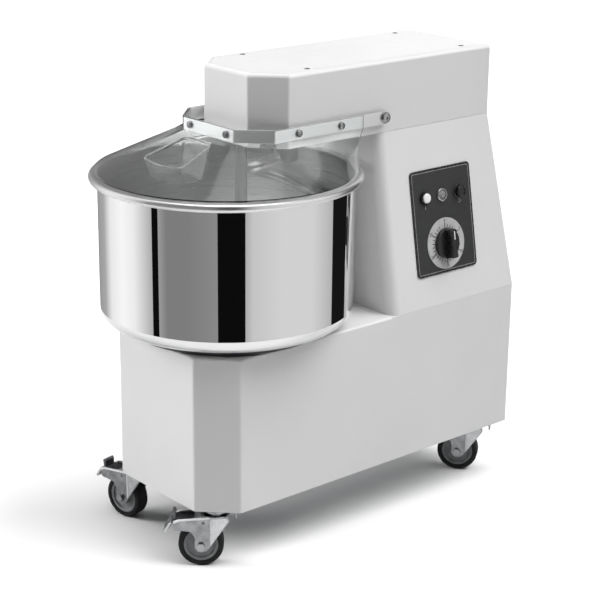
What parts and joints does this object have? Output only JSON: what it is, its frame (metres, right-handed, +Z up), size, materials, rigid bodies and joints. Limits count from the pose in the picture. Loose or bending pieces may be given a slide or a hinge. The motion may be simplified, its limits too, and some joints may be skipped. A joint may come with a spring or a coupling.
{
  "type": "spiral dough mixer",
  "caption": "Floor-standing spiral dough mixer with fixed head, turning bowl, coiled hook, breaker bar, tilting clear guard, timer panel and braked swivel casters.",
  "frame": {"origin": "middle of the footprint box, on the floor under the wheels", "axes": "+Z up, -Y to the front where the bowl is, +X to the side with the control panel"},
  "size_m": [0.48, 0.815, 0.851],
  "materials": {
    "white_paint": "satin powder coat",
    "zinc_plate": "bright zinc plating",
    "steel_screws": "polished",
    "black_plastic": "fine moulded texture",
    "panel_face": "printed polyester film",
    "dial_face": "printed scale",
    "white_cap": "moulded",
    "cast_iron": "as cast, painted",
    "bearing_steel": "ground",
    "motor_paint": "semi-gloss",
    "shaft_steel": "turned",
    "polished_steel": "mirror polished outside",
    "satin_steel": "satin",
    "brushed_steel": "long brush lines",
    "black_paint": "matt",
    "clear_plastic": "clear, polished edges",
    "grey_plastic": "moulded",
    "tyre": "smooth",
    "brake_steel": "dark, worn at the edges"
  },
  "bodies": {
    "frame": {"base_shell": "white_paint", "base_bottom_plate": "zinc_plate", "column_shell": "white_paint", "rear_cover": "white_paint", "head_shell": "white_paint", "head_lid": "white_paint", "cover_screws": "steel_screws", "cable_gland": "black_plastic", "control_panel": "panel_face", "dial_plate": "dial_face", "button_bezels": "black_plastic", "pilot_lamp": "steel_screws", "panel_switches": "black_plastic", "bearing_housings": "cast_iron", "shaft_bearings": "bearing_steel", "gearbox": "cast_iron", "motor": "motor_paint", "drive_bracket": "zinc_plate", "lower_chain": "shaft_steel", "upper_chain": "shaft_steel", "breaker_bar": "satin_steel", "guard_pivot_bolts": "steel_screws", "guard_switch": "black_plastic", "caster_heads": "zinc_plate"},
    "bowl": {"bowl": "polished_steel", "bowl_turntable": "black_paint", "bowl_shaft": "shaft_steel", "bowl_sprocket": "shaft_steel"},
    "spiral": {"spiral_shaft": "shaft_steel", "spiral_hook": "satin_steel", "spiral_sprocket": "shaft_steel"},
    "drive": {"drive_shaft": "shaft_steel", "drive_lower_sprocket": "shaft_steel", "drive_upper_sprocket": "shaft_steel"},
    "guard": {"guard_band": "brushed_steel", "guard_cover": "clear_plastic", "guard_screws": "steel_screws"},
    "timer_knob": {"timer_knob": "black_plastic"},
    "start_button": {"start_button": "white_cap"},
    "stop_button": {"stop_button": "black_plastic"},
    "front_right_swivel": {"front_right_fork": "zinc_plate", "front_right_axle": "steel_screws"},
    "front_right_roller": {"front_right_wheel": "grey_plastic", "front_right_tyre": "tyre"},
    "front_right_brake": {"front_right_brake_pedal": "brake_steel"},
    "front_left_swivel": {"front_left_fork": "zinc_plate", "front_left_axle": "steel_screws"},
    "front_left_roller": {"front_left_wheel": "grey_plastic", "front_left_tyre": "tyre"},
    "front_left_brake": {"front_left_brake_pedal": "brake_steel"},
    "rear_right_swivel": {"rear_right_fork": "zinc_plate", "rear_right_axle": "steel_screws"},
    "rear_right_roller": {"rear_right_wheel": "grey_plastic", "rear_right_tyre": "tyre"},
    "rear_right_brake": {"rear_right_brake_pedal": "brake_steel"},
    "rear_left_swivel": {"rear_left_fork": "zinc_plate", "rear_left_axle": "steel_screws"},
    "rear_left_roller": {"rear_left_wheel": "grey_plastic", "rear_left_tyre": "tyre"},
    "rear_left_brake": {"rear_left_brake_pedal": "brake_steel"}
  },
  "joints": [
    {"name": "bowl_spin", "type": "hinge", "parent": "frame", "child": "bowl", "pos_m": [0, -0.1675, 0.407], "axis": [0, 0, 1], "continuous": true, "deforming": ["lower_chain", "upper_chain"]},
    {"name": "spiral_spin", "type": "hinge", "parent": "frame", "child": "spiral", "pos_m": [0, -0.0355, 0.694], "axis": [0, 0, 1], "continuous": true},
    {"name": "drive_shaft_spin", "type": "hinge", "parent": "frame", "child": "drive", "pos_m": [0, 0.1575, 0.48], "axis": [0, 0, 1], "continuous": true},
    {"name": "guard_tilt", "type": "hinge", "parent": "frame", "child": "guard", "pos_m": [0, 0.0972, 0.75], "axis": [-1, 0, 0], "range_deg": [0, 70]},
    {"name": "timer_knob_turn", "type": "hinge", "parent": "frame", "child": "timer_knob", "pos_m": [0.14748, 0.232, 0.50012], "axis": [-0.9859, 0, -0.1673], "range_deg": [0, 336]},
    {"name": "start_button_press", "type": "slide", "parent": "frame", "child": "start_button", "axis": [-0.9859, 0, -0.1673], "range_m": [0, 0.003], "stiffness_N_per_m": 400},
    {"name": "stop_button_press", "type": "slide", "parent": "frame", "child": "stop_button", "axis": [-0.9859, 0, -0.1673], "range_m": [0, 0.003], "stiffness_N_per_m": 400},
    {"name": "front_right_swivel_turn", "type": "hinge", "parent": "frame", "child": "front_right_swivel", "pos_m": [0.118, -0.2875, 0.098], "axis": [0, 0, 1], "continuous": true},
    {"name": "front_right_wheel_roll", "type": "hinge", "parent": "front_right_swivel", "child": "front_right_roller", "pos_m": [0.10129, -0.30742, 0.04], "axis": [0.766, -0.6428, 0], "continuous": true},
    {"name": "front_right_brake_press", "type": "hinge", "parent": "front_right_swivel", "child": "front_right_brake", "pos_m": [0.10386, -0.30435, 0.085], "axis": [0.766, -0.6428, 0], "range_deg": [0, 8]},
    {"name": "front_left_swivel_turn", "type": "hinge", "parent": "frame", "child": "front_left_swivel", "pos_m": [-0.118, -0.2875, 0.098], "axis": [0, 0, 1], "continuous": true},
    {"name": "front_left_wheel_roll", "type": "hinge", "parent": "front_left_swivel", "child": "front_left_roller", "pos_m": [-0.14343, -0.29291, 0.04], "axis": [0.2079, -0.9781, 0], "continuous": true},
    {"name": "front_left_brake_press", "type": "hinge", "parent": "front_left_swivel", "child": "front_left_brake", "pos_m": [-0.13952, -0.29207, 0.085], "axis": [0.2079, -0.9781, 0], "range_deg": [0, 8]},
    {"name": "rear_right_swivel_turn", "type": "hinge", "parent": "frame", "child": "rear_right_swivel", "pos_m": [0.118, 0.3585, 0.098], "axis": [0, 0, 1], "continuous": true},
    {"name": "rear_right_wheel_roll", "type": "hinge", "parent": "rear_right_swivel", "child": "rear_right_roller", "pos_m": [0.09724, 0.34285, 0.04], "axis": [0.6018, -0.7986, 0], "continuous": true},
    {"name": "rear_right_brake_press", "type": "hinge", "parent": "rear_right_swivel", "child": "rear_right_brake", "pos_m": [0.10043, 0.34526, 0.085], "axis": [0.6018, -0.7986, 0], "range_deg": [0, 8]},
    {"name": "rear_left_swivel_turn", "type": "hinge", "parent": "frame", "child": "rear_left_swivel", "pos_m": [-0.118, 0.3585, 0.098], "axis": [0, 0, 1], "continuous": true},
    {"name": "rear_left_wheel_roll", "type": "hinge", "parent": "rear_left_swivel", "child": "rear_left_roller", "pos_m": [-0.14243, 0.36739, 0.04], "axis": [-0.342, -0.9397, 0], "continuous": true},
    {"name": "rear_left_brake_press", "type": "hinge", "parent": "rear_left_swivel", "child": "rear_left_brake", "pos_m": [-0.13867, 0.36602, 0.085], "axis": [-0.342, -0.9397, 0], "range_deg": [0, 8]}
  ],
  "couplings": [
    {"joint": "spiral_spin", "follows": "bowl_spin", "ratio": 9.1481},
    {"joint": "drive_shaft_spin", "follows": "bowl_spin", "ratio": 4.3333}
  ]
}
